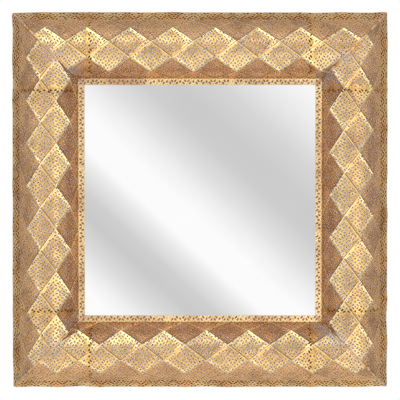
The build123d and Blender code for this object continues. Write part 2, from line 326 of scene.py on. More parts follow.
def holes_in(low, high, w_low, w_high, keep, grow_at):
    """Perforation holes as loops of (u, w), where keep(u, w, radius) allows one."""
    loops = []
    for row in range(math.floor(w_low * 2 / CELL[1]) - 1, math.ceil(w_high * 2 / CELL[1]) + 2):
        first = math.floor(low / CELL[0]) - 1
        for place in range(first, math.ceil(high / CELL[0]) + 2):
            centre_u = (place + (0.5 if row % 2 else 0)) * CELL[0]
            centre_w = row * CELL[1] / 2
            for along, across, length, width, turn in MOTIF:
                images = {(along, across, turn), (-along, across, -turn)}
                images |= {(x, -y, -t) for x, y, t in images}
                if along == 0 or across == 0:
                    images = {(x + 0.0, y + 0.0, abs(t)) for x, y, t in images}
                if along == CELL[0] / 4:
                    images = {image for image in images if image[1] > 0}
                for x, y, t in sorted(images):
                    u, w = centre_u + x, centre_w + y
                    if keep(u, w, max(length, width) / 2) and clear_of_folds(u, w):
                        loops.append(slot_loop(u, w, length, width, t, grow_at(u, w)))
    return loops


def cut_sheet(outline, folds, loops):
    """Triangles of a flat sheet with holes: (points, triangles)."""
    points = [Vector(p) for p in outline]
    edges = []
    faces = [list(range(len(outline)))]
    for fold in folds:
        edges.append((len(points), len(points) + 1))
        points.extend(Vector(p) for p in fold)
    for loop in loops:
        faces.append(list(range(len(points), len(points) + len(loop))))
        points.extend(Vector(p) for p in loop)
    found, _, triangles, _, _, inside = delaunay_2d_cdt(points, edges, faces, 1, 1e-4, True)
    kept = [t for t, owners in zip(triangles, inside) if list(owners) == [0]]
    used = sorted({v for t in kept for v in t})
    number = {v: k for k, v in enumerate(used)}
    return [found[v] for v in used], [[number[v] for v in t] for t in kept]


def add_object(name, data):
    made = bpy.data.objects.new(name, data)
    bpy.context.collection.objects.link(made)
    return made


def sheet_object(name, points, triangles, outer, inner, lift, upper=(1, 1), tongue=0):
    """A thin solid sheet from its flat cut and the places of its two faces.

    upper tells for both families of folds on which side of a fold up is. tongue is 1 where
    the sheet runs on under its neighbour. Faces of the inner side have material 1.
    """
    count = len(points)
    flat_area = sum(
        (points[b] - points[a]).cross(points[c] - points[a]) for a, b, c in triangles[:50]
    )
    if flat_area > 0:
        triangles = [t[::-1] for t in triangles]
    edges = {}
    for t in triangles:
        for k in range(3):
            edges[(t[k], t[(k + 1) % 3])] = True
    rim = [(a, b) for a, b in edges if (b, a) not in edges]
    faces = [tuple(t) for t in triangles]
    faces += [(t[0] + count, t[2] + count, t[1] + count) for t in triangles]
    faces += [(b, a, a + count, b + count) for a, b in rim]
    mesh = bpy.data.meshes.new(name)
    front = [outer(p) for p in points]
    mesh.from_pydata(
        [lift(at) for at in front] + [lift(inner(p), SKIN) for p in points], [], faces
    )
    inside = [int(len(triangles) <= k < 2 * len(triangles)) for k in range(len(faces))]
    mesh.polygons.foreach_set("material_index", inside)
    mesh.shade_smooth()
    fold = []
    for p in points:
        line = line_at(p.y)
        column = column_at(p.x)
        fold.append(((column + line) / 2 + NET_SHIFT, (line - column) / 2 + NET_SHIFT))
    layers = {
        "flat": [(p.x, p.y) for p in points],
        "net": fold,
        "sense": [upper] * count,
        "marks": [((HALF - at.y - abs(at.x)) * math.sqrt(0.5), tongue) for at in front],
    }
    # all layers are made before any is filled, because a new one moves the others' data
    for layer in layers:
        mesh.uv_layers.new(name=layer)
    corners = [corner.vertex_index % count for corner in mesh.loops]
    for layer, pairs in layers.items():
        mesh.uv_layers[layer].data.foreach_set("uv", [x for k in corners for x in pairs[k]])
    # sharp by their angle, and along every fold however flat it is
    mesh.set_sharp_from_angle(angle=math.radians(SHARP_ANGLE))
    sharp = mesh.attributes.get("sharp_edge")
    if sharp is None:
        sharp = mesh.attributes.new("sharp_edge", "BOOLEAN", "EDGE")
    is_sharp = [value.value for value in sharp.data]
    for k, edge in enumerate(mesh.edges):
        a, b = edge.vertices[0] % count, edge.vertices[1] % count
        for x, y in zip(fold[a], fold[b]):
            if abs(x - y) < 1e-3 and abs(x - round(x)) < 1e-3:
                is_sharp[k] = True
    sharp.data.foreach_set("value", is_sharp)
    return add_object(name, mesh)


# ------------------------------ materials


class Nodes:
    """Short calls for building a node tree."""

    def __init__(self, tree):
        self.tree = tree
        tree.nodes.clear()

    def put(self, socket, value):
        """Link an output to a socket, or give it a value."""
        if hasattr(value, "is_output"):
            self.tree.links.new(value, socket)
        elif socket.type == "RGBA" and len(value) == 3:
            socket.default_value = (*value, 1)
        else:
            socket.default_value = value

    def node(self, kind, inputs=(), **settings):
        made = self.tree.nodes.new(kind)
        for key, value in settings.items():
            setattr(made, key, value)
        for key, value in dict(inputs).items():
            self.put(made.inputs[key], value)
        return made

    def math(self, operation, *values):
        made = self.node("ShaderNodeMath", dict(enumerate(values)), operation=operation)
        return made.outputs[0]

    def axes(self, vector):
        return self.node("ShaderNodeSeparateXYZ", {0: vector}).outputs

    def layer(self, name):
        return self.node("ShaderNodeUVMap", uv_map=name).outputs[0]

    def ramp(self, factor, *stops, steps="LINEAR"):
        made = self.node("ShaderNodeValToRGB", {0: factor})
        made.color_ramp.interpolation = steps
        elements = made.color_ramp.elements
        while len(elements) < len(stops):
            elements.new(0.5)
        for element, (position, colour) in zip(elements, stops):
            element.position = position
            if isinstance(colour, (int, float)):
                colour = (colour, colour, colour)
            element.color = (*colour, 1)
        return made.outputs[0]

    def mix(self, factor, one, two, blend="MIX"):
        inputs = {0: factor, 6: one, 7: two}
        made = self.node("ShaderNodeMix", inputs, data_type="RGBA", blend_type=blend)
        return made.outputs[2]

    def choose(self, factor, one, two):
        """One shader where factor is 0, and the other where it is 1."""
        return self.node("ShaderNodeMixShader", {0: factor, 1: one, 2: two}).outputs[0]

    def noise(self, scale, detail=3.0, roughness=0.5, vector=None, **more):
        if vector is None:
            vector = self.node("ShaderNodeTexCoord").outputs["Object"]
        inputs = {"Scale": scale, "Detail": detail, "Roughness": roughness, "Vector": vector}
        return self.node("ShaderNodeTexNoise", {**inputs, **more}).outputs["Fac"]

    def bump(self, height, strength, distance, normal=None, invert=False):
        inputs = {"Height": height, "Strength": strength, "Distance": distance}
        if normal is not None:
            inputs["Normal"] = normal
        return self.node("ShaderNodeBump", inputs, invert=invert).outputs[0]


class Surface(Nodes):
    """A new material with a principled shader."""

    def __init__(self, name):
        self.material = bpy.data.materials.new(name)
        self.material.use_nodes = True
        super().__init__(self.material.node_tree)
        self.output = self.node("ShaderNodeOutputMaterial")
        self.shader = self.node("ShaderNodeBsdfPrincipled")
        self.put(self.output.inputs[0], self.shader.outputs[0])

    def set(self, **inputs):
        for key, value in inputs.items():
            self.put(self.shader.inputs[key.replace("_", " ")], value)


def colour(red, green, blue):
    """A linear colour from 0 to 255 sRGB values."""
    def linear(value):
        value /= 255
        return value / 12.92 if value <= 0.04045 else ((value + 0.055) / 1.055) ** 2.4
    return (linear(red), linear(green), linear(blue))


# The tin's material reads a facet's row from -2, the foot's triangles, to 4, in sevenths.
ROWS = 7
FOLD_REACH = 8.0  # mm over which the place beside a fold is graded
STAIN_REACH = 20.0  # and, beside a mitre, for the stains
BEAD_SHADOW_REACH = 5.0  # and for the painted shadow beside the solder bead
INWARD = 140.0  # mm across the sheet, over which stains grow towards the glass
# painted highlight on the crest's folds
EDGE_HIGHLIGHT_GOLD = colour(255, 240, 186)
# painted shade along the top of the crest
SPINE_SHADE_GOLD = colour(226, 162, 84)
STAIN = colour(190, 176, 160)
# painted shade on the tongue under a lap
UNDER_LAP_SHADE = colour(46, 30, 20)


def hole_gap(n, place):
    """How far a place on the sheet is from the edge of the nearest hole, in mm.

    It is worked out in one corner of the rosettes' cell, on which the others are folded.
    """
    half_cell = [size / 2 for size in CELL]
    x, y = [n.math("PINGPONG", place[k], half_cell[k]) for k in (0, 1)]
    shares = [n.math("DIVIDE", x, half_cell[0]), n.math("DIVIDE", y, half_cell[1])]
    past = n.math("GREATER_THAN", n.math("ADD", *shares), 1.0)
    away = n.math("SUBTRACT", 1.0, n.math("MULTIPLY", past, 2.0))
    x = n.math("MULTIPLY_ADD", x, away, n.math("MULTIPLY", past, half_cell[0]))
    y = n.math("MULTIPLY_ADD", y, away, n.math("MULTIPLY", past, half_cell[1]))
    nearest = None
    for along, across, length, width, turn in MOTIF:
        dx = n.math("SUBTRACT", x, along)
        dy = n.math("SUBTRACT", y, across)
        cosine, sine = math.cos(math.radians(turn)), math.sin(math.radians(turn))
        reach = n.math("MULTIPLY_ADD", dx, cosine, n.math("MULTIPLY", dy, sine))
        off = n.math("MULTIPLY_ADD", dy, cosine, n.math("MULTIPLY", dx, -sine))
        over = n.math("SUBTRACT", n.math("ABSOLUTE", reach), (length - width) / 2)
        over = n.math("MAXIMUM", over, 0.0)
        square = n.math("MULTIPLY_ADD", over, over, n.math("MULTIPLY", off, off))
        gap = n.math("SUBTRACT", n.math("SQRT", square), width / 2)
        nearest = gap if nearest is None else n.math("MINIMUM", nearest, gap)
    return nearest


def gilt_material(name, rows, ridges, highlight_colour, dark):
    """Gilt lacquer on perforated tin, with painted light and shade: a colour for each row, and how
    strong its folds show.
    """
    n = Surface(name)
    place = n.axes(n.layer("flat"))
    net = n.axes(n.layer("net"))
    sense = n.axes(n.layer("sense"))
    from_mitre, is_tongue = n.axes(n.layer("marks"))[:2]

    # the row of the facet, a chance value for each facet, and how far a place is above the
    # fold under it and below the fold over it, as seen on the hung mirror
    floors = [n.math("FLOOR", axis) for axis in net[:2]]
    parts = [n.math("FRACT", axis) for axis in net[:2]]
    row = n.math("SUBTRACT", n.math("ADD", *floors), 2 * NET_SHIFT - 2.0)
    row = n.math("DIVIDE", n.math("ADD", row, 0.5), float(ROWS))
    chance = n.node(
        "ShaderNodeTexWhiteNoise",
        {0: n.node("ShaderNodeCombineXYZ", dict(enumerate(floors))).outputs[0]},
        noise_dimensions="3D",
    ).outputs["Value"]
    above = []
    below = []
    for k in (0, 1):
        flip = n.math("MULTIPLY_ADD", sense[k], -0.5, 0.5)
        above.append(n.math("MULTIPLY_ADD", parts[k], sense[k], flip))
        below.append(n.math("SUBTRACT", 1.0, above[k]))
    above = n.math("MULTIPLY", n.math("MINIMUM", *above), FACET_SPAN / FOLD_REACH)
    below = n.math("MULTIPLY", n.math("MINIMUM", *below), FACET_SPAN / FOLD_REACH)
    # a painted highlight just below each fold and a painted shade just above it, as if each fold
    # were a crease lit from above
    fold_highlight = n.ramp(below, (0.0, 1.0), (0.14, 1.0), (0.22, 0.0))
    beside = n.ramp(above, (0.0, 1.0), (0.20, 1.0), (0.30, 0.0))
    pillow = n.ramp(
        n.math("MINIMUM", above, below), (0.0, 0.0), (0.3, 0.55), (0.6, 0.88), (1.0, 1.0)
    )
    rim = n.ramp(hole_gap(n, place), (0.0, 1.0), (0.35, 0.3), (0.8, 0.0))

    broad = n.noise(26, 4, 0.55)
    fine = n.noise(240, 5, 0.65)
    speck = n.noise(900, 3, 0.6)
    facet = n.ramp(row, *rows, steps="CONSTANT")
    crest = n.ramp(row, *ridges)
    groove_and_highlight = n.math("MULTIPLY", fold_highlight, crest)
    # the facets on the crest get a painted shade along the top of the half-round, and are paler
    # towards its outside and inside
    line = n.math("SUBTRACT", n.math("ADD", net[0], net[1]), 2 * NET_SHIFT + LAST / 2)
    from_top = n.math("MULTIPLY", n.math("ABSOLUTE", line), 0.5)
    shoulder = n.ramp(from_top, (0.05, 0.0), (0.25, 0.35), (0.6, 1.0))
    is_crest = n.ramp(row, (0.0, 0.0), (3 / ROWS, 1.0), (5 / ROWS, 0.0), steps="CONSTANT")
    shaded_spine = n.mix(n.math("MULTIPLY", is_crest, 0.35), facet, SPINE_SHADE_GOLD)
    facet = n.mix(n.math("MULTIPLY", shoulder, is_crest), shaded_spine, facet)
    # and a painted highlight along the crest's outer and inner folds
    from_outer = n.math("MINIMUM", *parts)
    from_inner = n.math("SUBTRACT", 1.0, n.math("MAXIMUM", *parts))
    is_outer = n.ramp(row, (0.0, 0.0), (3 / ROWS, 1.0), (4 / ROWS, 0.0), steps="CONSTANT")
    edge_highlight = n.mix(is_outer, from_inner, from_outer)
    edge_highlight = n.math("MULTIPLY", n.ramp(edge_highlight, (0.03, 1.0), (0.18, 0.0)), is_crest)
    edge_highlight = n.math("MULTIPLY", edge_highlight, n.ramp(fine, (0.40, 0.35), (0.58, 1.0)))

    dull = n.mix(0.62, facet, dark)
    cloud = n.math("MULTIPLY_ADD", broad, 0.65, n.math("MULTIPLY", fine, 0.35))
    cloud = n.math("MULTIPLY_ADD", chance, 0.08, cloud)
    tone = n.mix(n.ramp(cloud, (0.38, 1.0), (0.58, 0.0)), facet, dull)
    tone = n.mix(n.math("MULTIPLY", rim, 0.35), tone, dark)
    # painted shade above each fold, and painted highlight below it
    tone = n.mix(n.math("MULTIPLY", n.math("MULTIPLY", beside, crest), 0.75), tone, dark)
    tone = n.mix(n.math("MULTIPLY", groove_and_highlight, 0.65), tone, highlight_colour)
    tone = n.mix(n.math("MULTIPLY", edge_highlight, 0.5), tone, EDGE_HIGHLIGHT_GOLD)
    # grey solder and flux stains by the mitres, and painted shade on the tongue under a lap
    stain = n.ramp(
        n.math("MULTIPLY", from_mitre, 1 / STAIN_REACH), (0.0, 0.75), (0.4, 0.45), (1.0, 0.0)
    )
    inward = n.ramp(n.math("DIVIDE", place[1], INWARD), (0.1, 0.15), (0.5, 0.5), (0.75, 1.05))
    patchy = n.ramp(broad, (0.42, 0.1), (0.56, 1.6))
    stain = n.math("MULTIPLY", n.math("MULTIPLY", stain, inward), patchy)
    tone = n.mix(stain, tone, STAIN)
    # a painted shadow beside the solder bead
    bead_shadow = n.ramp(
        n.math("MULTIPLY", from_mitre, 1 / BEAD_SHADOW_REACH), (0.2, 0.0), (0.35, 0.7), (0.6, 0.0)
    )
    tone = n.mix(bead_shadow, tone, dark)
    under = n.math("LESS_THAN", n.math("ABSOLUTE", place[0]), SEAM - 0.3)
    under = n.math("MULTIPLY", under, is_tongue)
    tone = n.mix(under, tone, UNDER_LAP_SHADE)
    pits = n.ramp(speck, (0.30, 1.0), (0.42, 0.0))
    tone = n.mix(n.math("MULTIPLY", pits, 0.4), tone, dark)

    bump = n.bump(fine, 0.2, 0.0004)
    bump = n.bump(rim, 0.4, 0.0003, bump)
    bump = n.bump(n.math("MULTIPLY", pillow, crest), 1.0, 0.0016, bump, invert=True)
    bump = n.bump(groove_and_highlight, 0.6, 0.0004, bump, invert=True)
    # where the tongue under a lap has painted shade, it is not metal
    metal = n.math("SUBTRACT", 0.94, n.math("MULTIPLY", under, 0.9))
    rough = n.ramp(fine, (0.3, 0.19), (0.7, 0.34))
    n.set(
        Base_Color=tone, Metallic=metal, Roughness=rough, Normal=bump,
        Coat_Weight=0.2, Coat_Roughness=0.3,
    )
    return n.material


def simple_metal(name, base, dark, roughness, scale):
    n = Surface(name)
    fine = n.noise(scale, 5, 0.65)
    tone = n.ramp(fine, (0.35, dark), (0.6, base))
    n.set(
        Base_Color=tone, Metallic=1.0,
        Roughness=n.ramp(fine, (0.3, roughness - 0.08), (0.7, roughness + 0.12)),
        Normal=n.bump(fine, 0.3, 0.0003),
    )
    return n.material


def solder_material():
    """Solder, gilded with the sheet and rubbed back to grey here and there."""
    n = Surface("solder")
    broad = n.noise(60, 3, 0.6)
    fine = n.noise(420, 5, 0.65)
    cloud = n.math("MULTIPLY_ADD", broad, 0.7, n.math("MULTIPLY", fine, 0.3))
    tone = n.ramp(
        cloud, (0.36, colour(150, 108, 66)), (0.46, colour(226, 178, 112)),
        (0.54, colour(200, 176, 146)), (0.62, colour(164, 160, 160)),
    )
    n.set(
        Base_Color=tone, Metallic=0.9, Roughness=n.ramp(fine, (0.3, 0.3), (0.7, 0.5)),
        Normal=n.bump(fine, 0.4, 0.0004),
    )
    return n.material


def dull_material(name, dark, light):
    """The sheet where it is unlacquered, dull and brown, and the painted shade under the lip's
    holes.
    """
    n = Surface(name)
    broad = n.noise(40, 4, 0.6)
    fine = n.noise(500, 4, 0.6)
    cloud = n.math("MULTIPLY_ADD", broad, 0.6, n.math("MULTIPLY", fine, 0.4))
    n.set(
        Base_Color=n.ramp(cloud, (0.35, dark), (0.65, light)),
        Metallic=0.5, Roughness=n.ramp(fine, (0.3, 0.55), (0.7, 0.75)),
        Normal=n.bump(fine, 0.3, 0.0003),
    )
    return n.material


def wood_material(name, light, dark, scale):
    n = Surface(name)
    place = n.node("ShaderNodeTexCoord").outputs["Object"]
    stretched = n.node("ShaderNodeMapping", {"Vector": place, "Scale": scale}).outputs[0]
    grain = n.noise(1.0, 6, 0.6, stretched, Distortion=1.2)
    fine = n.noise(5.0, 4, 0.7, stretched)
    tone = n.ramp(grain, (0.35, dark), (0.5, light), (0.62, dark), (0.75, light))
    tone = n.mix(n.math("MULTIPLY", fine, 0.35), tone, dark)
    # painted shade: near black on the faces inside the moulding that turn to the front
    facing = n.axes(n.node("ShaderNodeNewGeometry").outputs["Normal"])[1]
    inside = n.math("LESS_THAN", facing, -0.7)
    tone = n.mix(n.math("MULTIPLY", inside, 0.92), tone, colour(14, 9, 6))
    n.set(
        Base_Color=tone, Roughness=n.ramp(fine, (0.3, 0.6), (0.7, 0.8)),
        Normal=n.bump(n.math("ADD", grain, fine), 0.25, 0.0004),
    )
    return n.material


def board_material():
    n = Surface("hardboard")
    broad = n.noise(18, 4)
    fibre = n.noise(700, 5, 0.7)
    tone = n.ramp(
        n.math("ADD", n.math("MULTIPLY", broad, 0.4), n.math("MULTIPLY", fibre, 0.6)),
        (0.35, colour(194, 191, 197)), (0.65, colour(208, 205, 211)),
    )
    n.set(Base_Color=tone, Roughness=0.75, Normal=n.bump(fibre, 0.3, 0.0003))
    return n.material


def foam_material():
    n = Surface("foam_tape")
    cells = n.node(
        "ShaderNodeTexVoronoi",
        {"Scale": 1600.0, "Vector": n.node("ShaderNodeTexCoord").outputs["Object"]},
    ).outputs[0]
    n.set(
        Base_Color=n.ramp(cells, (0.1, colour(205, 205, 200)), (0.7, colour(228, 228, 224))),
        Roughness=0.9, Normal=n.bump(cells, 0.4, 0.0003),
    )
    return n.material


def glass_material():
    n = Surface("mirror_glass")
    normal = n.node("ShaderNodeNewGeometry").outputs["Normal"]
    facing = n.math("ABSOLUTE", n.axes(normal)[1])
    smear = n.noise(9, 3, 0.5)
    tone = n.mix(
        n.ramp(facing, (0.4, 0.0), (0.9, 1.0)), colour(150, 172, 166),
        n.ramp(smear, (0.3, (0.955, 0.955, 0.955)), (0.7, (0.975, 0.975, 0.975))),
    )
    n.set(Base_Color=tone, Metallic=1.0, Roughness=n.ramp(smear, (0.3, 0.008), (0.7, 0.014)))
    return n.material


# The rows' colours paint in how bright each row shows at its tilt: painted light and shade, with
# painted shade on the inner slope's rows.
EDGE_TAN = colour(255, 216, 152)
BROWN = colour(255, 199, 127)
TAN = colour(254, 200, 131)
GOLD = colour(250, 209, 128)
PALE_GOLD = colour(255, 220, 138)
INNER_SLOPE_SHADE = colour(206, 151, 85)
LIP_GOLD = colour(255, 228, 166)
WOOD_TONES = colour(124, 88, 60), colour(84, 56, 38)

MATERIAL = {
    "gilt_tin": gilt_material(
        "gilt_tin",
        [(k / ROWS, tone)
         for k, tone in enumerate((EDGE_TAN, BROWN, TAN, GOLD, PALE_GOLD, INNER_SLOPE_SHADE, INNER_SLOPE_SHADE))],
        ((0.0, 0.1), (2.2 / ROWS, 0.35), (3.2 / ROWS, 1.0), (5 / ROWS, 1.0), (6.5 / ROWS, 0.6)),
        colour(255, 238, 180), colour(150, 98, 58),
    ),
    "lip_tin": gilt_material(
        "lip_tin", ((0.0, LIP_GOLD), (1.0, LIP_GOLD)), ((0.0, 0.0), (1.0, 0.0)),
        colour(255, 244, 210), colour(176, 116, 84),
    ),
    "tin_inside": dull_material("tin_inside", colour(112, 68, 42), colour(148, 94, 60)),
    # painted shade that the lip's holes show
    "lip_hole_shade": dull_material("lip_hole_shade", colour(100, 66, 44), colour(146, 100, 70)),
    "solder": solder_material(),
    "screw_steel": simple_metal(
        "screw_steel", colour(196, 194, 188), colour(140, 138, 132), 0.3, 400
    ),
    "hanger_brass": simple_metal(
        "hanger_brass", colour(222, 186, 112), colour(160, 124, 66), 0.28, 300
    ),
    "batten_wood": wood_material("batten_wood", *WOOD_TONES, (14, 90, 90)),
    "batten_wood_upright": wood_material("batten_wood_upright", *WOOD_TONES, (90, 90, 14)),
    "hardboard": board_material(),
    "foam_tape": foam_material(),
    "mirror_glass": glass_material(),
}


def finish_piece(piece, slot, *nodes, inside=None):
    """Give a piece its material and body, and hide the nodes that it stands for."""
    piece.data.materials.append(MATERIAL[slot])
    if inside:
        piece.data.materials.append(MATERIAL[inside])
    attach(piece, "frame")
    if nodes:
        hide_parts(*nodes)


# the solids that show as they are, of which the side battens have an upright grain
for entry in frame["record"]["subparts"]:
    node = frame["nodes"][entry["node"]]
    slot = entry["material_slot"]
    if entry["node"].startswith(("batten_left", "batten_right")):
        slot = "batten_wood_upright"
    node.data.materials.clear()
    node.data.materials.append(MATERIAL[slot])

# ------------------------------ tin panels

FOLDS = creases()
TOP_EDGE = 2.5  # metal left between a hole and the top of the inner leg
SEAM_OVERRUN = 0.1  # by which a middle panel's hole may pass the seam
SEAM_EDGE = 0.3  # metal left between an end panel's hole and the seam
MITRE_EDGE = 0.9  # and between it and the mitre
MITRE_STEPS = 120
TONGUE_START = width_at(-2) + 1.5  # the tongue under a lap stops short of the flange
RUNGS = 26
UNDER_LAP = [SEAM - LAP, SEAM - LAP / 2, SEAM - 0.2]
BEYOND_LAP = [SEAM + LAP_RAMP * step / 4 for step in range(5)]


def between_edges(w, radius):
    return width_at(-1) + radius < w < TOP - radius - TOP_EDGE


def middle_keep(u, w, radius):
    return abs(u) <= SEAM - radius + SEAM_OVERRUN and between_edges(w, radius)


def hole_grow(u, w):
    """What is added to a hole's radius at a place on the sheet."""
    if SEAM - LAP < abs(u) < SEAM:
        return HOLE_GROW_LAP
    if w < 0:
        return HOLE_GROW_FOOT
    return HOLE_GROW[row_at(u, w) + 1]


def ladder(direction, stops):
    """Lines that give neighbouring sheets the same shape where they lap."""
    lines = [((direction * u, BOTTOM), (direction * u, TOP)) for u in stops]
    for step in range(1, RUNGS):
        w = width_at(-1) + (TOP - width_at(-1)) * step / RUNGS
        lines.append(((direction * stops[0], w), (direction * stops[-1], w)))
    return lines


MIDDLE_CUT = cut_sheet(
    [(-SEAM, BOTTOM), (SEAM, BOTTOM), (SEAM, TOP), (-SEAM, TOP)],
    FOLDS + ladder(-1, UNDER_LAP) + ladder(1, UNDER_LAP),
    holes_in(-SEAM, SEAM, BOTTOM, TOP, middle_keep, hole_grow),
)


def end_cut(direction):
    """The flat cut of the end panel at a side's start (-1) or finish (1)."""
    mitre = []
    for step in range(MITRE_STEPS + 1):
        w = BOTTOM + (TOP - BOTTOM) * step / MITRE_STEPS
        mitre.append((mitre_along(w, direction) * direction, w))
    outline = [
        (SEAM, BOTTOM), *mitre, (SEAM - LAP, TOP), (SEAM - LAP, TONGUE_START),
        (SEAM, TONGUE_START),
    ]
    outline = [(u * direction, w) for u, w in outline][::direction]

    def keep(u, w, radius):
        if abs(u) < SEAM + radius + SEAM_EDGE or not between_edges(w, radius):
            return False
        reach = ramp(w, [at for _, at in mitre], [along for along, _ in mitre])
        return abs(u) < reach - (radius + MITRE_EDGE) * 1.5

    low, high = sorted((SEAM * direction, HALF * direction))
    folds = FOLDS + ladder(direction, UNDER_LAP + BEYOND_LAP)
    return cut_sheet(outline, folds, holes_in(low, high, BOTTOM, TOP, keep, hole_grow))


END_CUT = {direction: end_cut(direction) for direction in (-1, 1)}
# For the two families of folds, 1 where up on the hung mirror is at a fold's inner side
UPPER = {"top": (-1, -1), "right": (-1, 1), "bottom": (1, 1), "left": (1, -1)}


def lap_depth(u):
    """How deep the end panel lies under the middle one, fading out beyond the seam."""
    t = min(1, max(0, (abs(u) - SEAM) / LAP_RAMP))
    return (SKIN + LAP_GAP) * (1 - t * t * (3 - 2 * t))


for side_name, (_, start_name, finish_name) in SIDES.items():
    side = SIDE[side_name]
    node = f"{side_name}_panel_middle"
    piece = sheet_object(
        node + "_tin", *MIDDLE_CUT,
        lambda p: side.skin_point(p.x, p.y, 0),
        lambda p: side.skin_point(p.x, p.y, SKIN),
        side.place, UPPER[side_name],
    )
    finish_piece(piece, "gilt_tin", node, inside="tin_inside")
    for direction, end_name in ((-1, start_name), (1, finish_name)):
        node = f"{side_name}_panel_{end_name}"

        def mitred(p, extra):
            """A place on an end panel, kept off the panel beyond the mitre."""
            depth = round(lap_depth(p.x) + extra, 2)
            at = side.skin_point(p.x, p.y, depth)
            limit = HALF - at.y - MITRE_GAP
            at.x = min(at.x, limit) if direction > 0 else max(at.x, -limit)
            return at

        piece = sheet_object(
            node + "_tin", *END_CUT[direction],
            lambda p: mitred(p, 0), lambda p: mitred(p, SKIN), side.place, UPPER[side_name], 1,
        )
        finish_piece(piece, "gilt_tin", node, inside="tin_inside")

# ------------------------------ lip round the glass

# w here is the distance from the outer edge of the lip, and below zero down its leg
LIP_OUTER = HALF - LIP_INSET
LIP_INNER = HALF - FRAME_WIDTH
LIP_OUTLINE = [
    (-LIP_OUTER, -LEG), (LIP_OUTER, -LEG), (LIP_OUTER, 0), (LIP_INNER, LIP_WIDTH),
    (-LIP_INNER, LIP_WIDTH), (-LIP_OUTER, 0),
]
LIP_FOLD = [((-HALF, 0), (HALF, 0))]
LIP_MITRE_EDGE = 3  # metal left between a hole and the mitre
LIP_SKIN = SHEET * 0.75
SHADE_SHEET_TOP = SHEET * 0.78  # the painted shade lies under the lip, down to the sheet's thickness


def lip_keep(u, w, radius):
    return radius < w < LIP_WIDTH - radius and abs(u) < LIP_OUTER - w - LIP_MITRE_EDGE


LIP_CUT = cut_sheet(
    LIP_OUTLINE, LIP_FOLD,
    holes_in(-HALF, HALF, 0, LIP_WIDTH, lip_keep, lambda u, w: HOLE_GROW_LIP),
)
SHADE_SHEET_CUT = cut_sheet(LIP_OUTLINE, LIP_FOLD, [])


def lip_point(p, depth):
    if p.y < 0:
        return Vector((p.x, LIP_INSET + depth, LIP_LEVEL - depth + p.y * (LEG - depth) / LEG))
    inset = LIP_INSET + depth + p.y * (LIP_WIDTH - depth) / LIP_WIDTH
    return Vector((p.x, inset, LIP_LEVEL - depth))


# each lip, and under it an uncut sheet of painted shade that its holes show
for side_name, side in SIDE.items():
    piece = sheet_object(
        f"{side_name}_lip_tin", *LIP_CUT,
        lambda p: lip_point(p, 0), lambda p: lip_point(p, LIP_SKIN), side.place,
    )
    finish_piece(piece, "lip_tin", f"{side_name}_lip", inside="tin_inside")
    shade_sheet = sheet_object(
        f"{side_name}_lip_hole_shade", *SHADE_SHEET_CUT,
        lambda p: lip_point(p, SHADE_SHEET_TOP), lambda p: lip_point(p, SHEET), side.place,
    )
    finish_piece(shade_sheet, "lip_hole_shade")

# ------------------------------ solder along the mitres

BEAD_SIDES = 10
BEAD_STEP = 1.2  # along the mitre
BEAD_RADIUS = 1.5
BEAD_LEAST = 0.75
BEAD_DEPTH = 0.9  # of the bead's middle under the folded skin
BEAD_LIP_RISE = 0.3  # and above the lip
BEAD_LIP_START = 0.5  # inside the lip's outer edge
BEAD_LIP_END = 1.8  # short of its inner edge
DIAGONAL = Vector((1, 0, 1)).normalized()
ACROSS = Vector((1, 0, -1)).normalized()


def bead_middle(inset, level):
    return DIAGONAL * (HALF - inset) * math.sqrt(2) - Vector((0, level, 0))


bead_path = []
w = width_at(-1)
while w < TOP:
    at = FLAT.skin_point(mitre_along(w, 1), w, BEAD_DEPTH)
    bead_path.append(bead_middle(at.y, at.z))
    w += BEAD_STEP
inset = LIP_INSET + BEAD_LIP_START
while inset < FRAME_WIDTH - BEAD_LIP_END:
    bead_path.append(bead_middle(inset, LIP_LEVEL + BEAD_LIP_RISE))
    inset += BEAD_STEP

# the bead's thickness and its line wander along the mitre, each corner's in its own way
for quarter, corner in enumerate(("top_right", "bottom_right", "bottom_left", "top_left")):
    chance = random.Random(f"solder {corner}")
    offset = Vector([chance.uniform(0, 90) for _ in range(3)])
    turned = Matrix.Rotation(math.radians(90 * quarter), 3, "Y")
    points = []
    faces = []
    for k, middle in enumerate(bead_path):
        run = bead_path[min(len(bead_path) - 1, k + 1)] - bead_path[max(0, k - 1)]
        rise = run.cross(ACROSS).normalized()
        lump = noise.fractal(Vector((k * 0.16, 0, 0)) + offset, 0.7, 2.0, 3)
        sway = noise.noise(Vector((k * 0.09, 7, 0)) + offset) * 1.3
        taper = min(1.0, (k + 0.4) / 4, (len(bead_path) - k - 0.6) / 3)
        radius = max(BEAD_LEAST, BEAD_RADIUS + BEAD_RADIUS * lump) * taper
        for turn in range(BEAD_SIDES):
            angle = math.tau * turn / BEAD_SIDES
            lift = radius * 0.8 * math.cos(angle)
            wide = radius * 1.15 * math.sin(angle) + sway * taper
            points.append(turned @ (middle + rise * lift + ACROSS * wide) * MM)
            if k:
                here, there = k * BEAD_SIDES, (k - 1) * BEAD_SIDES
                other = (turn + 1) % BEAD_SIDES
                faces.append((here + turn, here + other, there + other, there + turn))
    last = (len(bead_path) - 1) * BEAD_SIDES
    faces.append(tuple(range(BEAD_SIDES))[::-1])
    faces.append(tuple(range(last, last + BEAD_SIDES)))
    mesh = bpy.data.meshes.new(f"mitre_bead_{corner}")
    mesh.from_pydata(points, [], faces)
    mesh.shade_smooth()
    bead = add_object(f"mitre_bead_{corner}", mesh)
    finish_piece(bead, "solder", f"mitre_solder_{corner}")

# ------------------------------ screws seen from behind

SCREW_SIDES = 24
FLANGE_SCREW_INSET = 19.0
FLANGE_SCREW_PLACES = (-281, -216, -172, 0, 172, 216, 281)
HANGER_SCREW_PLACE = (288.0, 130.0, 6.0)  # across, up and level
PAN_CROWN = 0.25
